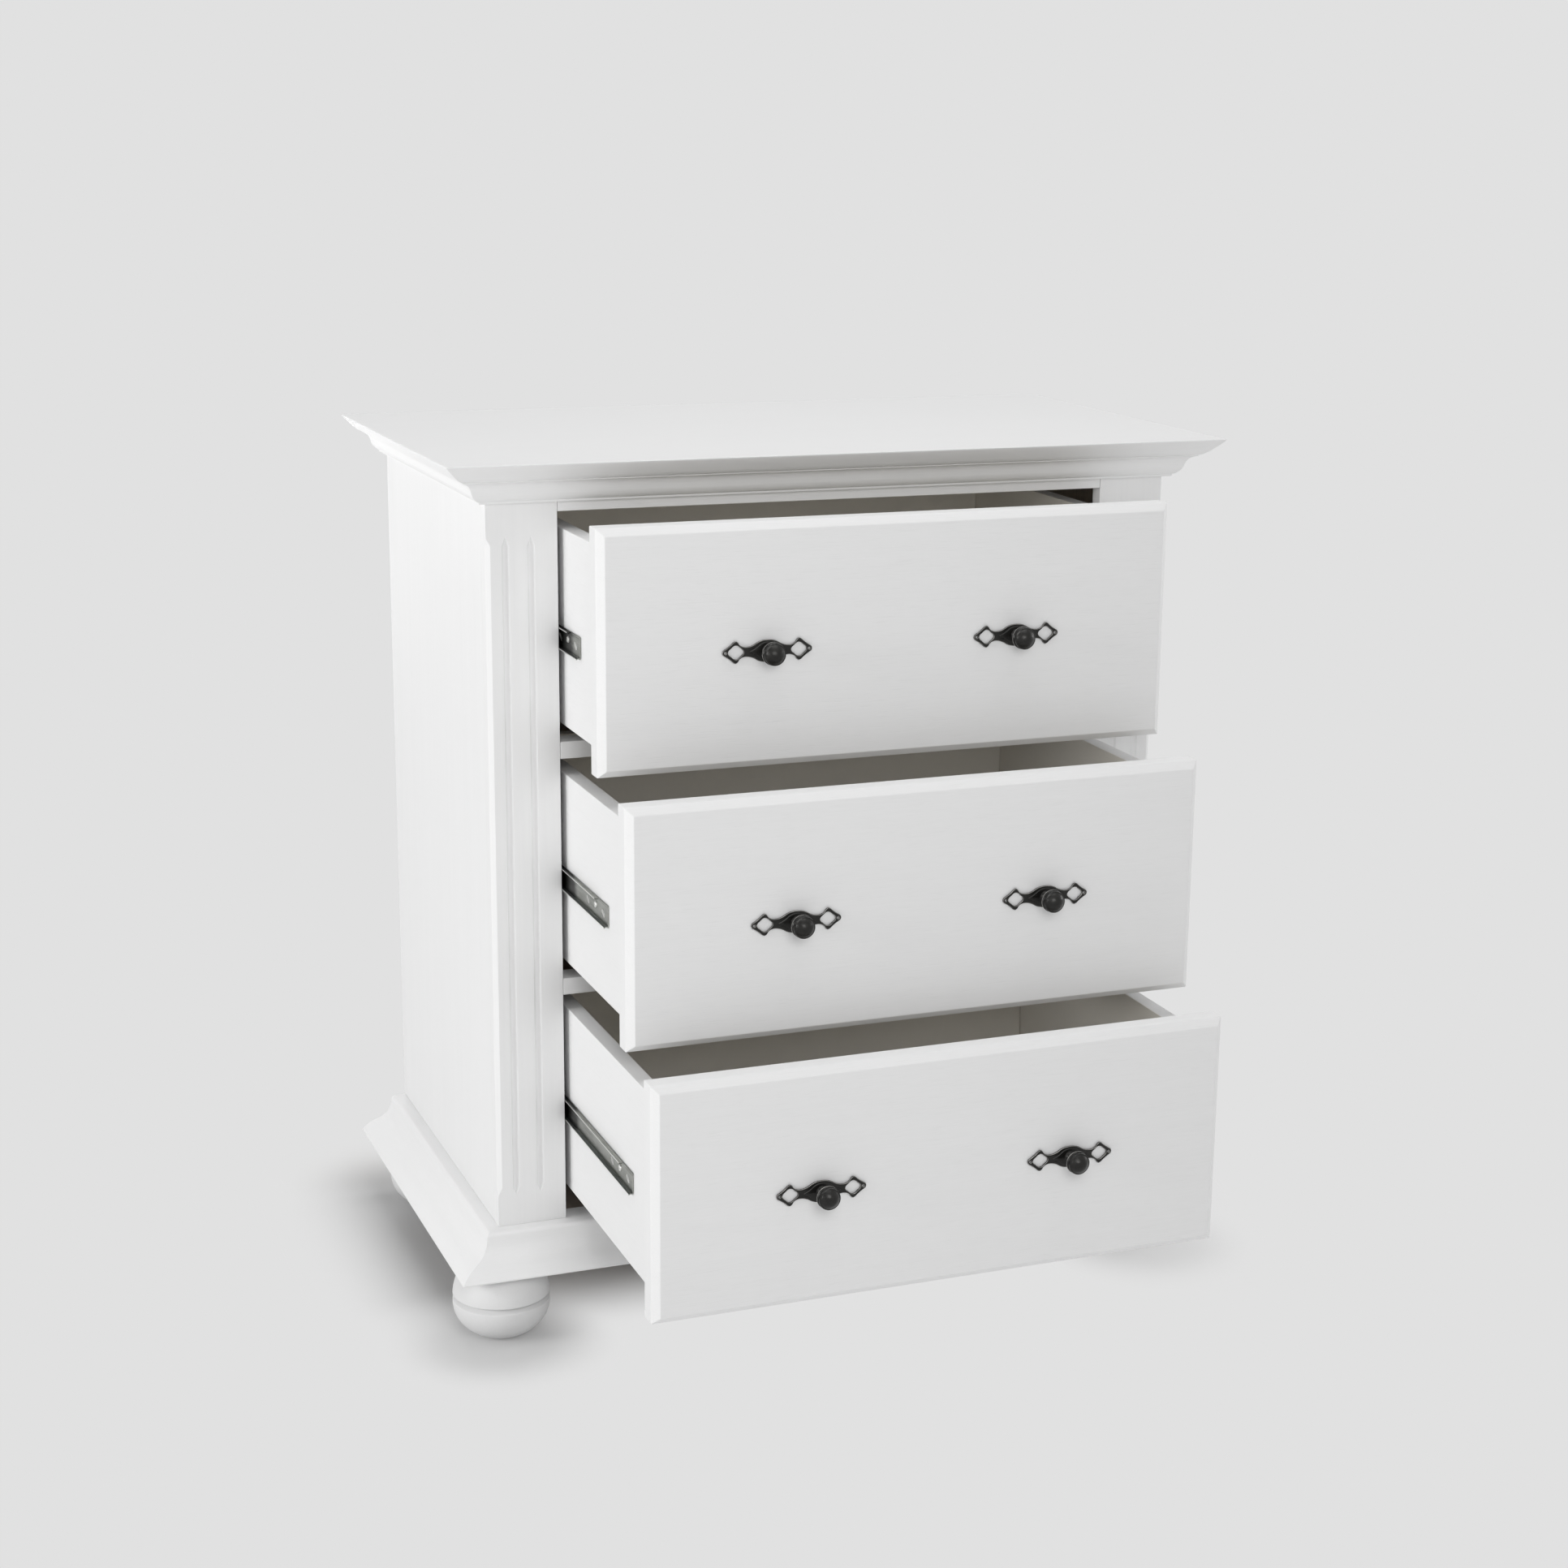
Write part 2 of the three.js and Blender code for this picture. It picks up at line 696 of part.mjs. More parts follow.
function addDrawer(parent, drawer, top) {
  const group = addGroup(parent, -drawer.opening);
  const backOfFront = -closedGap;
  const boxFront = backOfFront + seat;
  const sideTop = top - boxTopDrop;
  const sideBottom = top - frontHeight + boxBottomRise;
  const floorBase = sideBottom + boxBottomLift;
  const grooveInside = boxInside + boxGrooveDepth;

  const front = addMesh(group, `drawer_${drawer.name}_front`, drawerFront(), whitePaint());
  front.position.set(0, backOfFront, top);

  const section = polygon([
    [boxInside, sideBottom],
    [boxHalf, sideBottom],
    [boxHalf, sideTop],
    [boxInside, sideTop],
    [boxInside, floorBase + boxBottomThickness + seat],
    [grooveInside, floorBase + boxBottomThickness + seat],
    [grooveInside, floorBase - seat],
    [boxInside, floorBase - seat],
  ]);
  const side = solidOf(alongY(section, boxFront, boxDepth));
  for (const { name, sign } of sides) {
    const solid = sign > 0 ? side : side.mirror([1, 0, 0]);
    addMesh(group, `drawer_${drawer.name}_side_${name}`, geometryOf(solid), whitePaint());
  }

  const backSpan = [seat - boxInside, boxInside - seat];
  const backHeights = [floorBase + boxBottomThickness + seat, sideTop];
  const back = board(backSpan, [boxDepth - boxBackThickness, boxDepth], backHeights);
  addMesh(group, `drawer_${drawer.name}_back`, back, whitePaint());
  const floorSpan = [seat - grooveInside, grooveInside - seat];
  const floor = board(floorSpan, [boxFront, boxDepth], [floorBase, floorBase + boxBottomThickness]);
  addMesh(group, `drawer_${drawer.name}_bottom`, floor, bareBoard());

  for (const { name, sign } of sides) {
    const handle = addMesh(group, `handle_${drawer.name}_${name}`, handleGeometry(), blackIron());
    const handleHeight = top - frontHeight / 2 - handleLowering;
    handle.position.set(sign * handleSpacing / 2, backOfFront - frontThickness - seat, handleHeight);
  }
  addSlides(parent, group, drawer, top - frontHeight / 2 - slideLowering);
}

function addSlides(parent, drawerGroup, drawer, height) {
  const cageGroup = addGroup(parent, -drawer.opening / 2);
  const members = [
    { holder: drawerGroup, kind: "drawer_member", solid: drawerMember(), y: drawerMemberFront },
    { holder: cageGroup, kind: "ball_cage", solid: ballCage(), y: cageFront },
    { holder: parent, kind: "case_member", solid: caseMember(), y: 0 },
  ];
  for (const { holder, kind, solid, y } of members) {
    for (const { name, sign } of sides) {
      const placed = solid.translate([slideFace, y, height]);
      const geometry = geometryOf(sign > 0 ? placed : placed.mirror([1, 0, 0]));
      addMesh(holder, `${kind}_${drawer.name}_${name}`, geometry, zincSteel());
    }
  }
}

// The finished chest stands on the floor, with its origin under the middle of its box as shown
const chest = new THREE.Group();
addCase(chest);
drawers.forEach((drawer, i) => addDrawer(chest, drawer, firstFrontTop - i * drawerPitch));
const mostOpen = Math.max(...drawers.map((drawer) => drawer.opening));
const foremost = -mostOpen - closedGap - frontThickness - seat - knobProjection;
chest.position.y = -(foremost + caseDepth) / 2;

export default chest;
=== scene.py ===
# A painted commode chest with its drawers pulled out, in metres unless a name says otherwise
import math

import bpy
from mathutils import Matrix, Vector


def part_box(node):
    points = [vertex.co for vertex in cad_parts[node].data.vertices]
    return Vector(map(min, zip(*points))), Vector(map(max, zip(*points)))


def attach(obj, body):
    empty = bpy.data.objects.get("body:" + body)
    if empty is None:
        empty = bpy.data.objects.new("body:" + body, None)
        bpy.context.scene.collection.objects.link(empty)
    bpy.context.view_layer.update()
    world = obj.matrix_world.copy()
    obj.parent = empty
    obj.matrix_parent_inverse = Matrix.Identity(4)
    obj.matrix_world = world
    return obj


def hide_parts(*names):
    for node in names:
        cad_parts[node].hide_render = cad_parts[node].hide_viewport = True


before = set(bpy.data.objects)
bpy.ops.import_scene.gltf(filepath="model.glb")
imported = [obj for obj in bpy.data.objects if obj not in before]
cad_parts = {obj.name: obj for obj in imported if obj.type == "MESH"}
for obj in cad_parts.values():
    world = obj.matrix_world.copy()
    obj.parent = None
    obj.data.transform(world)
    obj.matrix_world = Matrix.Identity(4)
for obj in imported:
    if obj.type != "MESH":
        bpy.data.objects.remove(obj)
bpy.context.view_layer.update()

MM = 0.001
LEVELS = ("upper", "middle", "lower")
SIDES = ("left", "right")

# Places read from the frame
face_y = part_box("pilaster_left")[0].y
box_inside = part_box("drawer_upper_back")[1].x

# Softened edges on boards and on rolled steel
BOARD_EDGE = 0.9 * MM
MOULDING_EDGE = 0.4 * MM
STEEL_EDGE = 0.15 * MM
EDGE_STEPS = 2
SHARP_ANGLE = math.radians(32)
BOARD_SHARP_ANGLE = math.radians(50)
HANDLE_SHARP_ANGLE = math.radians(40)
FLAT_ANGLE = math.radians(0.4)
MERGE_DISTANCE = 0.004 * MM

# Painted joints: boards and mitres that the paint closes over
JOINT_GAP = 0.3 * MM
DIAGONAL = math.sqrt(0.5)
DIAGONAL_TOLERANCE = 0.01
SAME_DIRECTION = 0.999

# Bun feet
FOOT_STEPS = 96
FOOT_LOBE_STEPS = 14
FOOT_RADIUS = 54.8 * MM
FOOT_BASE_RADIUS = 22 * MM
FOOT_TOP_RADIUS = 40 * MM
FOOT_GROOVE_HEIGHT = 46.5 * MM
FOOT_GROOVE_WIDTH = 7 * MM
FOOT_GROOVE_DEPTH = 6 * MM
FOOT_GROOVE_LIP = 0.8 * MM
# How much darker the feet's paint is, as painted shade
FOOT_PAINTED_SHADE_SHARE = 0.9

# Handles
PLATE_LENGTH = 100 * MM
PLATE_HEIGHT = 24 * MM
PLATE_THICKNESS = 2.4 * MM
PLATE_ROUND = 1.1 * MM
PLATE_CURVE_STEPS = 8
PLATE_HOLE_STEPS = 40
BOSS_SCALE = 0.84
BOSS_RISE = 1.5 * MM
BOSS_ROUND_SHARE = 0.85
BOSS_SINK_SHARE = 0.4
BOSS_TAPER_SHARE = 0.35
BOSS_TIP_SHARE = 0.86
KNOB_RADIUS = 12.3 * MM
KNOB_PROJECTION = 32 * MM
KNOB_STEPS = 64
PLATE_EDGE_SHARES = (
    (0.17, 1, 0.28, 0.66),
    (0.38, 0.43, 0.49, 0.43),
    (0.59, 0.47, 0.63, 0.72),
    (0.65, 0.92, 0.7, 1),
    (0.75, 0.97, 0.79, 0.78),
    (0.86, 0.52, 0.95, 0.3),
    (1, 0.2, 1, 0),
)
BODY_EDGE_COUNT = 2
PLATE_HOLE_PLACE_SHARE = 0.7
PLATE_HOLE_LENGTH_SHARE = 0.172
PLATE_HOLE_HEIGHT_SHARE = 0.61
PLATE_HOLE_LOBES = 4
PLATE_HOLE_LOBE_SHARE = 0.08
TIP_HOLE_PLACE_SHARE = 0.932
TIP_HOLE_SHARE = 0.1
TIP_HOLE_STEPS = 32
KNOB_SHARES = (
    (0.62, 0), (0.62, 0.07), (0.58, 0.09), (0.48, 0.12), (0.4, 0.16), (0.365, 0.195),
    (0.42, 0.215), (0.465, 0.24), (0.42, 0.265), (0.365, 0.285),
    (0.41, 0.305), (0.445, 0.33), (0.41, 0.355), (0.37, 0.375),
    (0.5, 0.42), (0.75, 0.5), (0.95, 0.555), (1, 0.58), (1, 0.62), (0.96, 0.645),
    (0.9, 0.67), (0.9, 0.7), (0.955, 0.74), (0.965, 0.77), (0.95, 0.8),
    (0.88, 0.815), (0.84, 0.82), (0.8, 0.84), (0.7, 0.88), (0.55, 0.93), (0.38, 0.97),
    (0.2, 0.99), (0.02, 1),
)
# Where the handles' edges are lightened, as rubbed iron and as a painted highlight
KNOB_RIM_SHARES = (0.58, 0.62)
KNOB_RIM_RADIUS_SHARE = 0.9
PLATE_ROUND_SHARES = (0.3, 0.93)
PLATE_FACE_MARGIN = 0.1 * MM

# The screw that holds each drawer member to its drawer, and the member's web and slots
SCREW_INSET = 42 * MM
SCREW_LIFT = 2.5 * MM
SCREW_RADIUS = 3.6 * MM
SCREW_RISE = 1.8 * MM
SCREW_STEPS = 32
SCREW_SHARES = ((1, 0), (1, 0.35), (0.93, 0.62), (0.78, 0.84), (0.52, 0.97), (0.05, 1))
CROSS_LENGTH = 3.6 * MM
CROSS_WIDTH = 0.8 * MM
CROSS_DEPTH = 0.7 * MM
WEB_THICKNESS = 1.2 * MM
SLOT_REACH = 5.5 * MM

# Where a slide's face is, as shares of its reach from the web, and how far it leans
RACE_START_SHARE = 0.25
RACE_LEAN = 0.35
LIP_START_SHARE = 0.9
LIP_LEAN = 0.5
WEB_END_SHARE = 0.24
SLOT_WALL_LEAN = 0.6

# Painted shade on the slides, from just before the case's face inwards
PAINTED_SHADE_FROM_FACE = (-46 * MM, -28 * MM)
PAINTED_SHADE_WANDER = 14 * MM

# Camera, fitted to the photograph's edges, in metres, degrees and shares of the picture's width
CAMERA_X = -1.1318
CAMERA_BEFORE_FACE = 2.8099
CAMERA_Z = 1.3572
CAMERA_TURN = 21.92
CAMERA_DIP = 14.86
CAMERA_ROLL = 0.77
PICTURE_WIDTH = 1932
FOCAL_SHARE = 3400.25 / PICTURE_WIDTH
CENTRE_RIGHT_SHARE = (1027.15 - PICTURE_WIDTH / 2) / PICTURE_WIDTH
CENTRE_DOWN_SHARE = (1023.05 - PICTURE_WIDTH / 2) / PICTURE_WIDTH
SENSOR_MM = 36

# Floor, the shadow kept on it under the chest and round its front feet, and painted shadow there
FLOOR_SIZE = 14
FLOOR_SHADE = 0.93
UNDER_CHEST_SHADE = 0.61
SHADOW_CENTRE_Y = 0.258
SHADOW_HALF_WIDTH = 0.42
SHADOW_HALF_DEPTH = 0.17
SHADOW_FADE = 0.17
FOOT_SHADOW_X = 0.415
FOOT_SHADOW_Y = -0.075
FOOT_SHADOW_CLEAR = 0.045
FOOT_SHADOW_FADE = 0.145
LEFT_FOOT_SHARE = 0.8
RIGHT_FOOT_SHARE = 0.34
FOOT_SHADOW_SHADE = 0.68

# Light: each lamp's name, place, target, width, height and power
SKY_LIGHT = 0.31
LAMPS = (
    ("window_left", (-3.6, -0.4, 1.25), (0, 0, 0.55), 1.6, 1.2, 50),
    ("overhead", (0, 0, 3.4), (0, 0, 0.9), 2.4, 2.4, 37),
    ("front", (-0.45, -2.1, 1.45), (0, -0.2, 0.7), 1.0, 0.8, 13),
    ("right", (3.5, 0.5, 1.3), (0, 0.1, 0.5), 1.6, 1.2, 34),
    ("back", (0, 3.5, 0.5), (0, 0.3, 0.5), 2.0, 0.8, 32),
)

# Colours in linear light
BACKGROUND = (0.753, 0.753, 0.753)
PAINT = (0.864, 0.864, 0.864)
PAINT_SHADE = (0.808, 0.809, 0.809)
INSIDE_PAINT = (0.875, 0.845, 0.785)
# Inside the case: bare board darkened as painted shade of the closed case
CAVITY_PAINTED_SHADE = (0.42, 0.365, 0.315)
LINING_PAINTED_SHADE = (0.52, 0.475, 0.42)
BARE_BOARD = (0.42, 0.34, 0.25)
IRON = (0.011, 0.0107, 0.0098)
# Rubbed iron on the handles' edges, which also stands as a painted highlight
RUBBED_AND_HIGHLIT_IRON = (0.46, 0.45, 0.43)
ZINC = (0.43, 0.44, 0.41)
# Painted highlight on the slides' lip ends, slot walls and screw heads
LIP_PAINTED_HIGHLIGHT = (0.84, 0.84, 0.82)
# Painted shade on the slides: in the ball races, and towards the inside of the case
RACE_PAINTED_SHADE = (0.06, 0.07, 0.064)
SLIDE_PAINTED_SHADE = (0.018, 0.0185, 0.018)

# Paint, and how strongly the grain shows through it
PAINT_GLOSS = {"Specular IOR Level": 0.38}
PAINT_ROUGHNESS = 0.48
PAINT_BUMP_DEPTH = 0.25 * MM
FRONT_GRAIN_STRENGTH = 0.47
CASE_GRAIN_STRENGTH = 0.28
PLAIN_GRAIN_STRENGTH = 0.35

# How far the inside paint reaches past the inside of a drawer's box
BOX_MARGIN = 1 * MM

# How squarely a face looks along an axis when a mask counts it in
FACING_LIMIT = 0.5

# Roughness of every noise
NOISE_ROUGHNESS = 0.55

# Noise in wood: how many grains to the metre along and across it, detail and distortion
PAINTED_GRAIN = (24, 620, 3, 0.3)
PAINTED_FIGURE = (1.3, 34, 3, 1.2)
WOOD_PORES = (36, 900, 1, 0)
CASE_SIDE_GRAIN = (7, 330, 4, 0.4)
CASE_SIDE_FIGURE = (1.1, 34, 3, 1.2)
BRUSH_MARKS = (14, 1100, 2, 0)
BOARD_FIBRES = (5, 260, 4, 0.8)

# Other noise: how many grains to the metre along each axis, detail and distortion
PAINT_CLOUD = ((3, 3, 3), 2, 0)
BOARD_CLOUD = ((6, 6, 6), 3, 0)
IRON_PITS = ((900, 900, 900), 3, 0)
IRON_DENTS = ((420, 420, 420), 2, 0)
IRON_FILING = ((1500, 1500, 130), 2, 0.4)
IRON_CLOUD = ((110, 110, 110), 2, 0)
STEEL_ROLLING = ((1800, 12, 1800), 2, 0)
STEEL_CLOUD = ((160, 30, 160), 3, 0)
FLOOR_SPECKLE = ((40, 40, 40), 2, 0)

# Numbers of the colour sockets on a mix node: share, first and second colour, and the result
COLOUR_MIX_INPUTS = (0, 6, 7)
COLOUR_MIX_OUTPUT = 2


# Shader maths

class Value:
    """A shader socket that takes part in Python sums."""

    def __init__(self, shader, socket):
        self.shader = shader
        self.socket = socket

    def _sum(self, operation, first, second):
        return self.shader.node("ShaderNodeMath", {"operation": operation}, {0: first, 1: second})

    def __add__(self, other):
        return self._sum("ADD", self, other)

    def __sub__(self, other):
        return self._sum("SUBTRACT", self, other)

    def __rsub__(self, other):
        return self._sum("SUBTRACT", other, self)

    def __mul__(self, other):
        return self._sum("MULTIPLY", self, other)

    def __gt__(self, other):
        return self._sum("GREATER_THAN", self, other)

    def __lt__(self, other):
        return self._sum("LESS_THAN", self, other)

    __radd__ = __add__


class Shader:
    """A material or a world whose nodes are made by calls."""

    def __init__(self, owner):
        owner.use_nodes = True
        self.owner = owner
        self.tree = owner.node_tree
        self.tree.nodes.clear()

    def node(self, kind, settings=None, inputs=None, output=0):
        made = self.tree.nodes.new(kind)
        for name, setting in (settings or {}).items():
            if name == "stops":
                self.set_stops(made.color_ramp, setting)
            else:
                setattr(made, name, setting)
        for name, value in (inputs or {}).items():
            self.feed(made.inputs[name], value)
        return Value(self, made.outputs[output]) if made.outputs else made

    def set_stops(self, ramp, stops):
        for element, (place, shade) in zip(ramp.elements, stops):
            element.position = place
            element.color = (shade, shade, shade, 1)

    def feed(self, socket, value):
        if isinstance(value, Value):
            self.tree.links.new(value.socket, socket)
        elif isinstance(value, (tuple, list)) and len(value) == 3 and socket.type == "RGBA":
            socket.default_value = (*value, 1)
        else:
            socket.default_value = value

    def coordinates(self, stretch):
        place = self.node("ShaderNodeTexCoord", output="Object")
        return self.node("ShaderNodeMapping", inputs={"Vector": place, "Scale": stretch})

    def noise(self, stretch, detail, distortion):
        return self.node("ShaderNodeTexNoise", inputs={
            "Vector": self.coordinates(stretch), "Scale": 1, "Detail": detail,
            "Roughness": NOISE_ROUGHNESS, "Distortion": distortion})

    def wood(self, axis, along, across, detail, distortion):
        """Noise drawn out along one axis."""
        stretch = [along if i == axis else across for i in range(3)]
        return self.noise(stretch, detail, distortion)

    def ramp(self, value, *stops):
        """A grey ramp between two stops, each a place and a shade."""
        return self.node("ShaderNodeValToRGB", {"stops": stops}, {"Fac": value})

    def mix(self, share, first, second):
        inputs = dict(zip(COLOUR_MIX_INPUTS, (share, first, second)))
        return self.node("ShaderNodeMix", {"data_type": "RGBA"}, inputs, COLOUR_MIX_OUTPUT)

    def toned(self, share, colour, factor):
        """A colour that changes towards a darker or lighter one of its own kind."""
        return self.mix(share, colour, times(colour, factor))

    def parts(self, source="Object"):
        place = self.node("ShaderNodeTexCoord", output=source)
        return [self.node("ShaderNodeSeparateXYZ", inputs={"Vector": place}, output=i) for i in range(3)]

    def size(self, value):
        return self.node("ShaderNodeMath", {"operation": "ABSOLUTE"}, {0: value})

    def root(self, value):
        return self.node("ShaderNodeMath", {"operation": "SQRT"}, {0: value})

    def above_zero(self, value):
        return self.node("ShaderNodeMath", {"operation": "MAXIMUM"}, {0: value, 1: 0})

    def smooth(self, value, low, high):
        return self.node("ShaderNodeMapRange", {"interpolation_type": "SMOOTHSTEP"}, {
            "Value": value, "From Min": low, "From Max": high})

    def seen_directly(self):
        """One for what the camera, gloss and glass see, and nothing for plain light."""
        camera, gloss, glass = (self.node("ShaderNodeLightPath", output=f"Is {kind} Ray")
                                for kind in ("Camera", "Glossy", "Transmission"))
        return camera + gloss + glass > 0.5

    def finish(self, colour, roughness, height=None, bump=0.3, depth=0.2 * MM, **fixed):
        inputs = {"Base Color": colour, "Roughness": roughness, **fixed}
        if height is not None:
            inputs["Normal"] = self.node("ShaderNodeBump", inputs={
                "Strength": bump, "Distance": depth, "Height": height})
        surface = self.node("ShaderNodeBsdfPrincipled", inputs=inputs)
        self.node("ShaderNodeOutputMaterial", inputs={"Surface": surface})
        return self.owner


def new_material(name):
    return Shader(bpy.data.materials.new(name))


# Finishes

def times(colour, factor):
    return tuple(part * factor for part in colour)


def grey(shade):
    return (shade, shade, shade)


def satin(cloud, brush):
    return PAINT_ROUGHNESS + cloud * 0.08 + brush * 0.06


def white_paint(name, axis, inside=None, grainy=PLAIN_GRAIN_STRENGTH, shade=1):
    """Satin white brushed over wood, whose grain shows. A mask may give inner faces their own tone. A
    shade below one darkens the paint all over, which on the feet is painted shade.
    """
    shader = new_material(name)
    grain = shader.wood(axis, *PAINTED_GRAIN)
    figure = shader.wood(axis, *PAINTED_FIGURE)
    brush = shader.wood(axis, *BRUSH_MARKS)
    pores = shader.ramp(shader.wood(axis, *WOOD_PORES), (0.6, 0), (0.7, 1))
    cloud = shader.noise(*PAINT_CLOUD)
    filled = shader.ramp(grain * 0.6 + figure * 0.4, (0.32, 0), (0.68, 1))
    darker = filled * (0.7 * grainy) + cloud * 0.2 + pores * (0.65 * grainy)
    colour = shader.mix(darker, times(PAINT, shade), times(PAINT_SHADE, shade))
    if inside is not None:
        dull = shader.toned(cloud, INSIDE_PAINT, 0.92)
        colour = shader.mix(inside(shader), colour, dull)
    height = grain * 0.5 + figure * 0.2 + brush * 0.2 - pores * 0.4
    roughness = satin(cloud, brush)
    return shader.finish(colour, roughness, height, grainy, PAINT_BUMP_DEPTH, **PAINT_GLOSS)


def inner_faces(axis, sign):
    """A mask of the faces that look along an axis, to one side."""
    def mask(shader):
        return shader.parts("Normal")[axis] * sign > FACING_LIMIT
    return mask


def inner_side_of_box(shader):
    """A mask of what lies within the inside width of a drawer's box."""
    x = shader.parts()[0]
    return x * x < (box_inside + BOX_MARGIN) ** 2


def case_paint(name, axis, side):
    """White outside, and dark on the side that faces the unlit case: bare board darkened as painted shade
    of the closed case.
    """
    shader = new_material(name)
    grain = shader.wood(axis, *CASE_SIDE_GRAIN)
    figure = shader.wood(axis, *CASE_SIDE_FIGURE)
    brush = shader.wood(axis, *BRUSH_MARKS)
    cloud = shader.noise(*PAINT_CLOUD)
    shade = shader.ramp(grain * 0.55 + figure * 0.45, (0.3, 0), (0.7, 1))
    paint = shader.mix(shade * 0.45 + cloud * 0.2, PAINT, PAINT_SHADE)
    dark = shader.toned(grain, CAVITY_PAINTED_SHADE, 1.6)
    colour = shader.mix(side(shader), paint, dark)
    height = grain * 0.5 + figure * 0.3 + brush * 0.25
    roughness = satin(cloud, brush)
    return shader.finish(colour, roughness, height, PLAIN_GRAIN_STRENGTH, PAINT_BUMP_DEPTH, **PAINT_GLOSS)


# The bottom board: bare board darkened all over as painted shade of the closed case
def dark_board():
    shader = new_material("dark_case_board_painted_shade")
    grain = shader.wood(0, *BOARD_FIBRES)
    colour = shader.toned(grain, CAVITY_PAINTED_SHADE, 1.3)
    return shader.finish(colour, 0.7 + grain * 0.15, grain, bump=0.3)


def black_iron():
    """Blackened cast iron with upright file marks, soft dents, and edges lightened as rubbed bare and as
    a painted highlight.
    """
    shader = new_material("black_iron")
    pits = shader.noise(*IRON_PITS)
    dents = shader.noise(*IRON_DENTS)
    filed = shader.noise(*IRON_FILING)
    cloud = shader.noise(*IRON_CLOUD)
    worn = shader.ramp(cloud, (0.45, 0), (0.75, 1))
    edge = shader.node("ShaderNodeAttribute", {"attribute_name": "edge"}, output="Fac")
    colour = shader.toned(worn * 0.5 + pits * 0.2 + filed * 0.25, IRON, 2.4)
    # Edges lightened as rubbed iron and as a painted highlight
    colour = shader.mix(edge * (0.45 + worn * 0.55), colour, RUBBED_AND_HIGHLIT_IRON)
    roughness = 0.17 + cloud * 0.16 + dents * 0.12
    height = pits * 0.4 + cloud * 0.5 + filed * 0.6 + dents * 1.2
    return shader.finish(colour, roughness, height, bump=0.55, depth=0.22 * MM, Metallic=0.5)


def zinc_steel():
    """Zinc-plated steel, with painted highlights on the lips' ends, the slots' walls and the screws, and
    painted shade in the ball races and towards the inside of the case.
    """
    shader = new_material("zinc_plated_steel")
    drawn = shader.noise(*STEEL_ROLLING)
    cloud = shader.noise(*STEEL_CLOUD)
    spangle = shader.ramp(cloud, (0.35, 0), (0.7, 1))
    race = shader.node("ShaderNodeAttribute", {"attribute_name": "race"}, output="Fac")
    lip = shader.node("ShaderNodeAttribute", {"attribute_name": "lip"}, output="Fac")
    along = shader.parts()[1] - face_y
    stop = shader.smooth(along + (cloud - 0.5) * PAINTED_SHADE_WANDER, *PAINTED_SHADE_FROM_FACE)
    colour = shader.toned(spangle * 0.6 + drawn * 0.4, ZINC, 0.6)
    # Painted highlight on the lips' ends, the slots' walls and the screws
    colour = shader.mix(lip * 0.9, colour, LIP_PAINTED_HIGHLIGHT)
    # Painted shade in the ball races, and from just before the case's face inwards
    colour = shader.mix(race * (0.8 + drawn * 0.3), colour, RACE_PAINTED_SHADE)
    colour = shader.mix(stop * (0.94 - lip * 0.5), colour, SLIDE_PAINTED_SHADE)
    # Where the painted shade lies, the steel is also rougher and less metallic
    painted_shade = race * 0.5 + stop * 0.4
    roughness = 0.24 + drawn * 0.12 + spangle * 0.08 + painted_shade * 0.12
    metal = 1 - painted_shade * 0.6 - lip * 0.4
    height = drawn * 0.6 + cloud * 0.4
    return shader.finish(colour, roughness, height, bump=0.2, depth=0.08 * MM, Metallic=metal)


# Tools for the pieces

def deselect_all():
    bpy.ops.object.select_all(action="DESELECT")


def take(piece):
    deselect_all()
    piece.select_set(True)
    bpy.context.view_layer.objects.active = piece


def apply_place(piece):
    take(piece)
    bpy.ops.object.transform_apply(location=True, rotation=True, scale=True)


def own_copy(piece, name):
    copy = piece.copy()
    copy.data = piece.data.copy()
    copy.name = name
    bpy.context.scene.collection.objects.link(copy)
    return copy


def shift(piece, offset):
    piece.data.transform(Matrix.Translation(offset))


def place(piece, node, body, finish, slot):
    """Gives a piece its finish, in place of a CAD node, and lets it ride on its body."""
    piece.data.materials.clear()
    piece.data.materials.append(finish)
    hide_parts(node)
    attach(piece, body)


def shade_round(piece, angle=SHARP_ANGLE):
    take(piece)
    bpy.ops.object.shade_smooth_by_angle(angle=angle)


def close_joints(piece, directions):
    """Moves the mitred ends, and the faces that look along the given directions, up to what they meet."""
    for face in piece.data.polygons:
        normal = face.normal
        if all(abs(abs(part) - DIAGONAL) < DIAGONAL_TOLERANCE for part in normal.xy):
            reach = JOINT_GAP / 2
        elif any(normal.dot(direction) > SAME_DIRECTION for direction in directions):
            reach = JOINT_GAP
        else:
            continue
        for index in face.vertices:
            piece.data.vertices[index].co += normal * reach


def softened(node, width, joined=None):
    """A copy of a CAD node with its faces joined up and its sharp edges softened."""
    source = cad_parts[node]
    piece = own_copy(source, f"{node}_finished")
    piece.parent = None
    piece.matrix_world = Matrix.Identity(4)
    take(piece)
    bpy.ops.object.mode_set(mode="EDIT")
    bpy.ops.mesh.select_all(action="SELECT")
    bpy.ops.mesh.remove_doubles(threshold=MERGE_DISTANCE)
    bpy.ops.mesh.dissolve_limited(angle_limit=FLAT_ANGLE)
    bpy.ops.object.mode_set(mode="OBJECT")
    if joined is not None:
        close_joints(piece, [Vector(direction) for direction in joined])
    bevel = piece.modifiers.new("softened edges", "BEVEL")
    bevel.width = width
    bevel.segments = EDGE_STEPS
    bevel.limit_method = "ANGLE"
    bevel.angle_limit = SHARP_ANGLE
    bevel.use_clamp_overlap = True
    bpy.ops.object.modifier_apply(modifier=bevel.name)
    bpy.ops.object.shade_smooth_by_angle(angle=BOARD_SHARP_ANGLE)
    faces = piece.modifiers.new("flat faces stay flat", "WEIGHTED_NORMAL")
    faces.keep_sharp = True
    bpy.ops.object.modifier_apply(modifier=faces.name)
    return piece


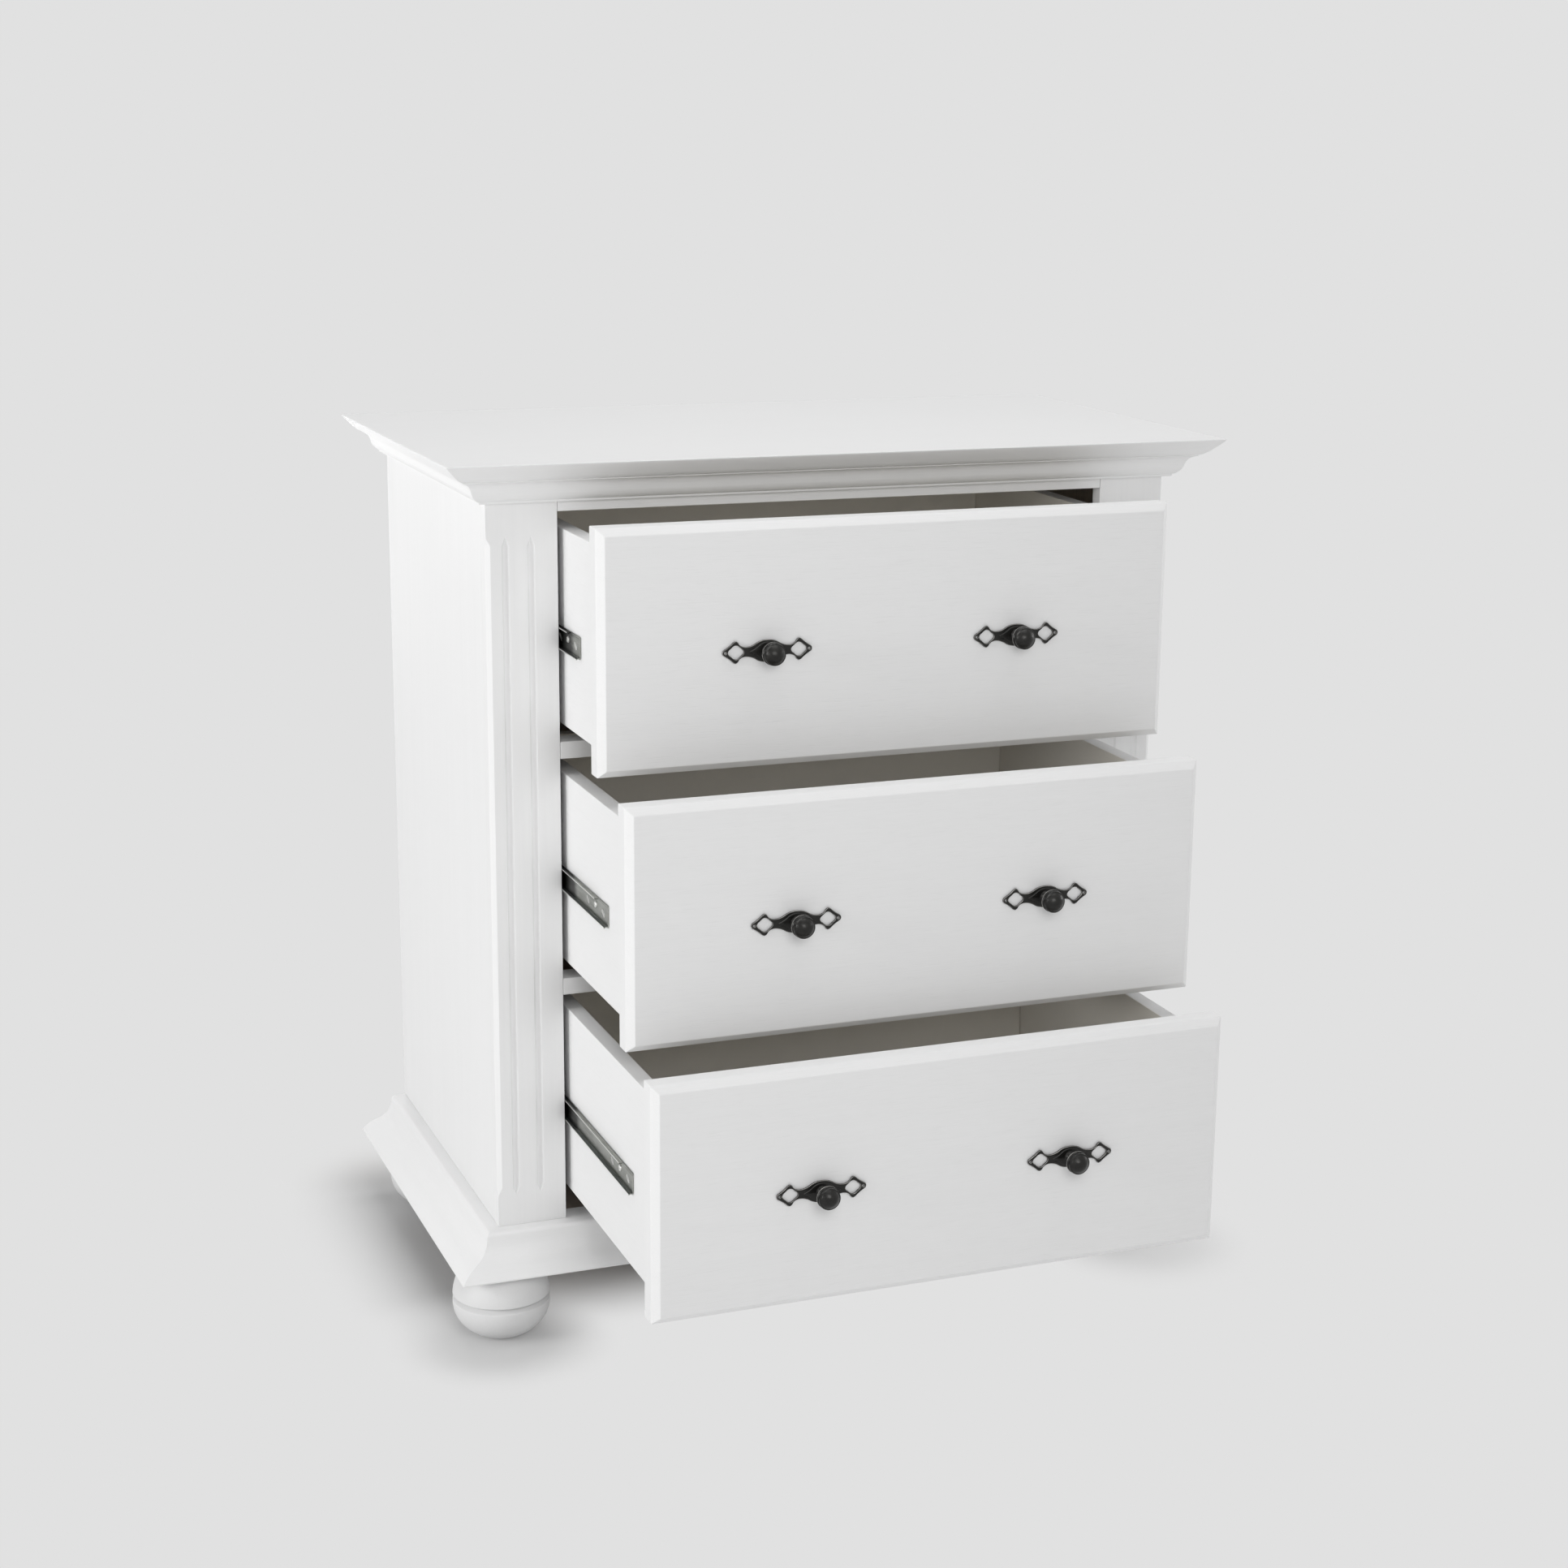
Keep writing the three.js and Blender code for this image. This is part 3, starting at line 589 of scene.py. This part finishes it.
def turned(name, outline, base, direction, steps):
    """A ring raised along its outline of (radius, height) pairs, and scaled at each step."""
    direction = Vector(direction)
    radius, height = outline[0]
    turn = direction.to_track_quat("Z", "Y").to_euler()
    start = Vector(base) + direction * height
    deselect_all()
    bpy.ops.mesh.primitive_circle_add(
        vertices=steps, radius=radius, fill_type="NGON", location=start, rotation=turn)
    piece = bpy.context.object
    piece.name = name
    bpy.ops.object.mode_set(mode="EDIT")
    bpy.ops.mesh.select_all(action="SELECT")
    bpy.ops.mesh.select_mode(type="FACE")
    for next_radius, next_height in outline[1:]:
        rise = direction * (next_height - height)
        bpy.ops.mesh.extrude_region_move(TRANSFORM_OT_translate={"value": rise})
        growth = next_radius / radius
        spread = [growth + (1 - growth) * abs(part) for part in direction]
        centre = Vector(base) + direction * next_height
        bpy.ops.transform.resize(value=spread, center_override=centre)
        radius, height = next_radius, next_height
    bpy.ops.mesh.select_all(action="SELECT")
    bpy.ops.mesh.normals_make_consistent(inside=False)
    bpy.ops.object.mode_set(mode="OBJECT")
    apply_place(piece)
    shade_round(piece)
    return piece


# Case and drawer boards

def grain_axis(node):
    """The grain runs along the longest side of a board, and upright on the sides."""
    low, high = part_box(node)
    size = high - low
    return max(range(3), key=lambda i: size[i])


def finish_case():
    paints = [white_paint(f"white_paint_{way}", axis, grainy=CASE_GRAIN_STRENGTH)
              for axis, way in enumerate(("level", "deep", "upright"))]
    finish_case_boards(paints)
    finish_mouldings(paints)


def finish_case_boards(paints):
    behind = inner_faces(1, 1)
    # Boards darkened inside the case as painted shade
    painted_shade_inside = {
        "side_panel_left": case_paint("white_side_left", 2, inner_faces(0, 1)),
        "side_panel_right": case_paint("white_side_right", 2, inner_faces(0, -1)),
        "pilaster_left": case_paint("white_pilaster_left", 2, behind),
        "pilaster_right": case_paint("white_pilaster_right", 2, behind),
        "bottom_board": dark_board(),
        "back_panel": back_panel_painted_shade(),
        "top_rail": case_paint("white_top_rail", 0, behind),
    }
    for node in ("top_board", "divider_rail_1", "divider_rail_2", *painted_shade_inside):
        finish = painted_shade_inside.get(node) or paints[grain_axis(node)]
        slot = "bare_board" if node in ("bottom_board", "back_panel") else "white_paint"
        joined = [(0, 0, -1)] if node.startswith(("side_panel", "pilaster")) else None
        edge = MOULDING_EDGE if node.startswith("pilaster") else BOARD_EDGE
        place(softened(node, edge, joined), node, "case", finish, slot)


def finish_mouldings(paints):
    towards_case = {"front": (0, 1, 0), "left": (1, 0, 0), "right": (-1, 0, 0)}
    for part in ("cornice", "plinth"):
        for end, direction in towards_case.items():
            node = f"{part}_{end}"
            joined = [(0, 0, 1), direction] if part == "cornice" else []
            piece = softened(node, MOULDING_EDGE, joined)
            place(piece, node, "case", paints[grain_axis(node)], "white_paint")


def back_panel_painted_shade():
    """The back panel: dark on the side towards the drawers, as bare board darkened by painted shade of
    the closed case, and plain board on the outside.
    """
    shader = new_material("back_panel_board")
    grain = shader.wood(2, *BOARD_FIBRES)
    cloud = shader.noise(*BOARD_CLOUD)
    board = shader.toned(grain * 0.5 + cloud * 0.5, BARE_BOARD, 0.72)
    inside_painted_shade = shader.toned(grain, LINING_PAINTED_SHADE, 1.3)
    colour = shader.mix(inner_faces(1, -1)(shader), board, inside_painted_shade)
    return shader.finish(colour, 0.68 + grain * 0.15, grain + cloud * 0.4, bump=0.3)


def finish_drawers():
    front_paint = white_paint("white_drawer_front", 0, inner_faces(1, 1), grainy=FRONT_GRAIN_STRENGTH)
    side_paint = white_paint("white_drawer_side", 1, inner_side_of_box)
    back_paint = white_paint("white_drawer_back", 0, inner_faces(1, -1))
    floor_board = white_paint("drawer_floor", 0, inner_faces(2, 1))
    for level in LEVELS:
        body = f"drawer_{level}"
        boards = (("front", BOARD_EDGE, front_paint, "white_paint"),
                  ("side_left", BOARD_EDGE, side_paint, "white_paint"),
                  ("side_right", BOARD_EDGE, side_paint, "white_paint"),
                  ("back", BOARD_EDGE, back_paint, "white_paint"),
                  ("bottom", STEEL_EDGE, floor_board, "bare_board"))
        for part, edge, finish, slot in boards:
            node = f"{body}_{part}"
            place(softened(node, edge), node, body, finish, slot)


# Bun feet

def foot_outline(height):
    """A lower and an upper lobe with a groove between them, as (radius, height) pairs."""
    lower_centre = FOOT_GROOVE_HEIGHT - FOOT_GROOVE_WIDTH
    lower_rise = lower_centre / math.sqrt(1 - (FOOT_BASE_RADIUS / FOOT_RADIUS) ** 2)
    upper_height = height - FOOT_GROOVE_HEIGHT
    upper_rise = upper_height / math.sqrt(1 - (FOOT_TOP_RADIUS / FOOT_RADIUS) ** 2)
    lower_start = math.asin(lower_centre / lower_rise)
    upper_start = math.asin(FOOT_GROOVE_WIDTH / 2 / upper_rise)
    upper_end = math.asin(upper_height / upper_rise)
    outline = []
    for i in range(FOOT_LOBE_STEPS, -1, -1):
        angle = lower_start * i / FOOT_LOBE_STEPS
        outline.append((FOOT_RADIUS * math.cos(angle), lower_centre - lower_rise * math.sin(angle)))
    lip = FOOT_GROOVE_LIP
    groove_low = FOOT_GROOVE_HEIGHT - FOOT_GROOVE_WIDTH / 2
    groove_high = FOOT_GROOVE_HEIGHT + FOOT_GROOVE_WIDTH / 2
    outline.append((FOOT_RADIUS, groove_low - lip))
    outline.append((FOOT_RADIUS - lip / 3, groove_low))
    outline.append((FOOT_RADIUS - FOOT_GROOVE_DEPTH, FOOT_GROOVE_HEIGHT - lip / 4))
    outline.append((FOOT_RADIUS - FOOT_GROOVE_DEPTH, FOOT_GROOVE_HEIGHT + lip / 4))
    outline.append((FOOT_RADIUS - lip, groove_high - lip / 2))
    for i in range(FOOT_LOBE_STEPS + 1):
        angle = upper_start + (upper_end - upper_start) * i / FOOT_LOBE_STEPS
        outline.append((FOOT_RADIUS * math.cos(angle), FOOT_GROOVE_HEIGHT + upper_rise * math.sin(angle)))
    return outline


def make_feet():
    # The feet's paint is darker all over, as painted shade
    paint = white_paint("white_turned_foot", 2, shade=FOOT_PAINTED_SHADE_SHARE)
    for row in ("front", "back"):
        for side in SIDES:
            node = f"foot_{row}_{side}"
            low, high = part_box(node)
            centre = ((low.x + high.x) / 2, (low.y + high.y) / 2, low.z)
            foot = turned(f"{node}_turned", foot_outline(high.z - low.z), centre, (0, 0, 1), FOOT_STEPS)
            place(foot, node, "case", paint, "white_paint")


# Handles

def bend_points(shares):
    """Points along a quarter outline from its top, whose bends are given as control and end shares."""
    start = (0, 1)
    points = [start]
    for control_x, control_z, end_x, end_z in shares:
        for i in range(1, PLATE_CURVE_STEPS + 1):
            t = i / PLATE_CURVE_STEPS
            x = (1 - t) ** 2 * start[0] + 2 * t * (1 - t) * control_x + t * t * end_x
            z = (1 - t) ** 2 * start[1] + 2 * t * (1 - t) * control_z + t * t * end_z
            points.append((x, z))
        start = (end_x, end_z)
    return points


def mirrored_outline(quarter, half_length, half_height):
    """A closed outline from the points of its upper right quarter, its top first and its tip last."""
    upper = [(x * half_length, z * half_height) for x, z in quarter]
    right = upper + [(x, -z) for x, z in reversed(upper[:-1])]
    left = [(-x, z) for x, z in reversed(right[1:-1])]
    return right + left


def flat_curve(name, outlines, thickness, rounding):
    """A flat filled curve with rounded edges, made a mesh that faces the front."""
    curve = bpy.data.curves.new(name, "CURVE")
    curve.dimensions = "2D"
    curve.fill_mode = "BOTH"
    curve.extrude = thickness / 2 - rounding
    curve.bevel_depth = rounding
    curve.bevel_resolution = 2
    curve.offset = -rounding
    for outline in outlines:
        spline = curve.splines.new("POLY")
        spline.points.add(len(outline) - 1)
        for point, (x, z) in zip(spline.points, outline):
            point.co = (x, z, 0, 1)
        spline.use_cyclic_u = True
    piece = bpy.data.objects.new(name, curve)
    bpy.context.scene.collection.objects.link(piece)
    piece.rotation_euler = (math.pi / 2, 0, 0)
    take(piece)
    bpy.ops.object.convert(target="MESH")
    piece = bpy.context.object
    apply_place(piece)
    bpy.ops.object.mode_set(mode="EDIT")
    bpy.ops.mesh.select_all(action="SELECT")
    bpy.ops.mesh.remove_doubles(threshold=MERGE_DISTANCE)
    bpy.ops.mesh.normals_make_consistent(inside=False)
    bpy.ops.object.mode_set(mode="OBJECT")
    return piece


def ring(centre, half_length, half_height, steps, lobe_share=0):
    """An oval outline, drawn in between its lobes where it has them."""
    points = []
    for i in range(steps):
        angle = 2 * math.pi * i / steps
        swell = 1 + lobe_share * (math.cos(PLATE_HOLE_LOBES * angle) - 1)
        x = centre + half_length * swell * math.cos(angle)
        z = half_height * swell * math.sin(angle)
        points.append((x, z))
    return points


def make_handle():
    """One casting, facing the front with the middle of its back at the origin."""
    half_length = PLATE_LENGTH / 2
    half_height = PLATE_HEIGHT / 2
    outlines = [mirrored_outline(bend_points(PLATE_EDGE_SHARES), half_length, half_height)]
    hole_length = PLATE_HOLE_LENGTH_SHARE * half_length
    hole_height = PLATE_HOLE_HEIGHT_SHARE * half_height
    tip_radius = TIP_HOLE_SHARE * half_height
    for end in (-half_length, half_length):
        outlines.append(ring(PLATE_HOLE_PLACE_SHARE * end, hole_length, hole_height,
                             PLATE_HOLE_STEPS, PLATE_HOLE_LOBE_SHARE))
        outlines.append(ring(TIP_HOLE_PLACE_SHARE * end, tip_radius, tip_radius, TIP_HOLE_STEPS))
    plate = flat_curve("handle_plate", outlines, PLATE_THICKNESS, PLATE_ROUND)
    shift(plate, (0, -PLATE_THICKNESS / 2, 0))

    body = bend_points(PLATE_EDGE_SHARES[:BODY_EDGE_COUNT])
    tip = PLATE_EDGE_SHARES[BODY_EDGE_COUNT - 1][2]
    leaf = [(x * BOSS_SCALE, (z - BOSS_TAPER_SHARE * (x / tip) ** 2) * BOSS_SCALE) for x, z in body]
    leaf.append((tip * BOSS_TIP_SHARE, 0))
    boss_outline = mirrored_outline(leaf, half_length, half_height)
    boss = flat_curve("handle_boss", [boss_outline], BOSS_RISE * 2, BOSS_RISE * BOSS_ROUND_SHARE)
    shift(boss, (0, -PLATE_THICKNESS + BOSS_RISE * BOSS_SINK_SHARE, 0))

    outline = [(radius * KNOB_RADIUS, height * KNOB_PROJECTION) for radius, height in KNOB_SHARES]
    knob = turned("handle_knob", outline, (0, 0, 0), (0, -1, 0), KNOB_STEPS)
    deselect_all()
    for piece in (boss, knob, plate):
        piece.select_set(True)
    bpy.context.view_layer.objects.active = plate
    bpy.ops.object.join()
    shade_round(plate, HANDLE_SHARP_ANGLE)
    mark_rubbed_and_highlit_edges(plate)
    return plate


def mark_rubbed_and_highlit_edges(handle):
    """Notes the plate's rounded edge and the knob's widest rim, where the black is lightened as rubbed
    off and as a painted highlight.
    """
    edge = handle.data.attributes.new("edge", "FLOAT", "FACE")
    steepest, flattest = PLATE_ROUND_SHARES
    rim_start, rim_end = KNOB_RIM_SHARES
    for face in handle.data.polygons:
        centre = face.center
        on_plate = -centre.y < PLATE_THICKNESS + PLATE_FACE_MARGIN
        rounded = on_plate and steepest < -face.normal.y < flattest
        on_outside = math.hypot(centre.x, centre.z) > KNOB_RIM_RADIUS_SHARE * KNOB_RADIUS
        rim = on_outside and rim_start < -centre.y / KNOB_PROJECTION < rim_end
        edge.data[face.index].value = float(rounded or rim)


def make_handles():
    iron = black_iron()
    pattern = make_handle()
    for level in LEVELS:
        for side in SIDES:
            node = f"handle_{level}_{side}"
            low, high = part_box(node)
            handle = own_copy(pattern, f"{node}_cast")
            shift(handle, ((low.x + high.x) / 2, high.y, (low.z + high.z) / 2))
            place(handle, node, f"drawer_{level}", iron, "black_iron")
    bpy.data.objects.remove(pattern)


# Slides

def make_screw():
    """A pan head with a cross recess, facing along +X from the origin."""
    outline = [(radius * SCREW_RADIUS, height * SCREW_RISE) for radius, height in SCREW_SHARES]
    head = turned("slide_screw", outline, (0, 0, 0), (1, 0, 0), SCREW_STEPS)
    for turn in (0, math.pi / 2):
        deselect_all()
        bpy.ops.mesh.primitive_cube_add(size=1, location=(SCREW_RISE, 0, 0), rotation=(turn, 0, 0),
                                        scale=(2 * CROSS_DEPTH, CROSS_LENGTH, CROSS_WIDTH))
        cutter = bpy.context.object
        take(head)
        cut = head.modifiers.new("cross recess", "BOOLEAN")
        cut.operation = "DIFFERENCE"
        cut.object = cutter
        bpy.ops.object.modifier_apply(modifier=cut.name)
        bpy.data.objects.remove(cutter)
    shade_round(head)
    # The whole screw head takes the slides' painted highlight
    painted_highlight = head.data.attributes.new("lip", "FLOAT", "FACE")
    for face in head.data.polygons:
        painted_highlight.data[face.index].value = 1
    return head


def mark_races(piece, side):
    """Notes the faces inside the ball races, which take painted shade, and those on the lips' ends and
    the slots' walls, which take a painted highlight.
    """
    low, high = (Vector(end(corner[i] for corner in piece.bound_box) for i in range(3))
                 for end in (min, max))
    middle = (low.z + high.z) / 2
    outward = -1 if side == "left" else 1
    web = high.x if side == "left" else low.x
    reach = high.x - low.x
    race = piece.data.attributes.new("race", "FLOAT", "FACE")
    lip = piece.data.attributes.new("lip", "FLOAT", "FACE")
    for face in piece.data.polygons:
        away = (face.center.x - web) * outward / reach
        inward = -face.normal.z * (1 if face.center.z > middle else -1)
        race.data[face.index].value = float(inward > RACE_LEAN and away > RACE_START_SHARE)
        on_lip = away > LIP_START_SHARE and face.normal.x * outward > LIP_LEAN
        across_web = away < WEB_END_SHARE and abs(face.normal.x) < SLOT_WALL_LEAN
        in_slot = across_web and abs(face.center.z - middle) < SLOT_REACH
        lip.data[face.index].value = float(on_lip or in_slot)


def finish_slides():
    zinc = zinc_steel()
    screw = make_screw()
    for level in LEVELS:
        for side in SIDES:
            slide = f"{level}_{side}"
            bodies = {
                f"drawer_member_{slide}": f"drawer_{level}",
                f"case_member_{slide}": "case",
                f"ball_cage_{slide}": f"cage_{slide}",
            }
            for node, body in bodies.items():
                piece = softened(node, STEEL_EDGE)
                mark_races(piece, side)
                place(piece, node, body, zinc, "zinc_steel")
            add_screw(screw, f"drawer_member_{slide}", level, side, zinc)
    bpy.data.objects.remove(screw)


def add_screw(screw, member, level, side, finish):
    low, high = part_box(member)
    face = high.x - WEB_THICKNESS if side == "left" else low.x + WEB_THICKNESS
    piece = own_copy(screw, f"slide_screw_{level}_{side}")
    if side == "left":
        piece.data.transform(Matrix.Rotation(math.pi, 4, "Z"))
    shift(piece, (face, low.y + SCREW_INSET, (low.z + high.z) / 2 + SCREW_LIFT))
    piece.data.materials.clear()
    piece.data.materials.append(finish)
    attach(piece, f"drawer_{level}")


# Floor, light and camera

def clear_of_foot(shader, x, y, foot_x):
    """Nothing on the floor near a front foot, and one past the end of its shadow's fade."""
    across = x - foot_x
    along = y - FOOT_SHADOW_Y
    distance = shader.root(across * across + along * along)
    return shader.smooth(distance, FOOT_SHADOW_CLEAR, FOOT_SHADOW_FADE)


def make_floor():
    """A pale floor that keeps the chest's shadow close to it, deepened by painted shadow, and otherwise
    looks like the background.
    """
    deselect_all()
    bpy.ops.mesh.primitive_plane_add(size=FLOOR_SIZE)
    floor = bpy.context.object
    floor.name = "studio_floor"
    shader = new_material("studio_floor")
    x, y, _ = shader.parts()
    beside = shader.above_zero(shader.size(x) - SHADOW_HALF_WIDTH)
    before = shader.above_zero(shader.size(y - SHADOW_CENTRE_Y) - SHADOW_HALF_DEPTH)
    away = shader.smooth(shader.root(beside * beside + before * before), 0, SHADOW_FADE)
    # Away from these shadows the camera sees the plain background instead of the floor
    plain = away
    clear_of_feet = 1
    for foot_x, share in ((-FOOT_SHADOW_X, LEFT_FOOT_SHARE), (FOOT_SHADOW_X, RIGHT_FOOT_SHARE)):
        clear = clear_of_foot(shader, x, y, foot_x)
        plain = plain * (clear * share + (1 - share))
        clear_of_feet = clear * clear_of_feet
    # Painted shadow: the floor's own colour is darker under the chest and round the front feet
    tone = shader.mix(away, grey(UNDER_CHEST_SHADE), grey(FLOOR_SHADE))
    tone = shader.mix(clear_of_feet, grey(FOOT_SHADOW_SHADE), tone)
    tone = shader.mix(shader.noise(*FLOOR_SPECKLE) * 0.01, tone, (0, 0, 0))
    lit = shader.node("ShaderNodeBsdfDiffuse", inputs={"Color": tone})
    glow = shader.node("ShaderNodeEmission", inputs={"Color": BACKGROUND, "Strength": 1})
    shown = shader.seen_directly() * plain
    surface = shader.node("ShaderNodeMixShader", inputs={0: shown, 1: lit, 2: glow})
    shader.node("ShaderNodeOutputMaterial", inputs={"Surface": surface})
    floor.data.materials.append(shader.owner)


def make_sky():
    world = bpy.data.worlds.new("studio")
    bpy.context.scene.world = world
    sky = Shader(world)
    seen = sky.seen_directly()
    light = sky.node("ShaderNodeBackground", inputs={"Color": (1, 1, 1), "Strength": SKY_LIGHT})
    shown = sky.node("ShaderNodeBackground", inputs={"Color": BACKGROUND, "Strength": 1})
    surface = sky.node("ShaderNodeMixShader", inputs={0: seen, 1: light, 2: shown})
    sky.node("ShaderNodeOutputWorld", inputs={"Surface": surface})


def make_lamp(name, location, target, width, height, power):
    light = bpy.data.lights.new(name, "AREA")
    light.shape = "RECTANGLE"
    light.size = width
    light.size_y = height
    light.energy = power
    lamp = bpy.data.objects.new(name, light)
    lamp.location = location
    lamp.rotation_euler = (Vector(target) - Vector(location)).to_track_quat("-Z", "Y").to_euler()
    bpy.context.scene.collection.objects.link(lamp)


def make_camera():
    turn, dip, roll = (math.radians(a) for a in (CAMERA_TURN, -CAMERA_DIP, CAMERA_ROLL))
    ahead = Vector((math.sin(turn) * math.cos(dip), math.cos(turn) * math.cos(dip), math.sin(dip)))
    level_right = Vector((math.cos(turn), -math.sin(turn), 0))
    level_up = level_right.cross(ahead)
    right = level_right * math.cos(roll) + level_up * math.sin(roll)
    up = level_up * math.cos(roll) - level_right * math.sin(roll)
    data = bpy.data.cameras.new("view")
    data.sensor_width = SENSOR_MM
    data.lens = FOCAL_SHARE * SENSOR_MM
    data.shift_x = -CENTRE_RIGHT_SHARE
    data.shift_y = CENTRE_DOWN_SHARE
    camera = bpy.data.objects.new("view", data)
    stand = Matrix.Translation((CAMERA_X, face_y - CAMERA_BEFORE_FACE, CAMERA_Z))
    camera.matrix_world = stand @ Matrix((right, up, -ahead)).transposed().to_4x4()
    bpy.context.scene.collection.objects.link(camera)
    bpy.context.scene.camera = camera


finish_case()
finish_drawers()
make_feet()
make_handles()
finish_slides()
make_floor()
make_sky()
for lamp in LAMPS:
    make_lamp(*lamp)
make_camera()
bpy.context.scene.view_settings.view_transform = "Standard"
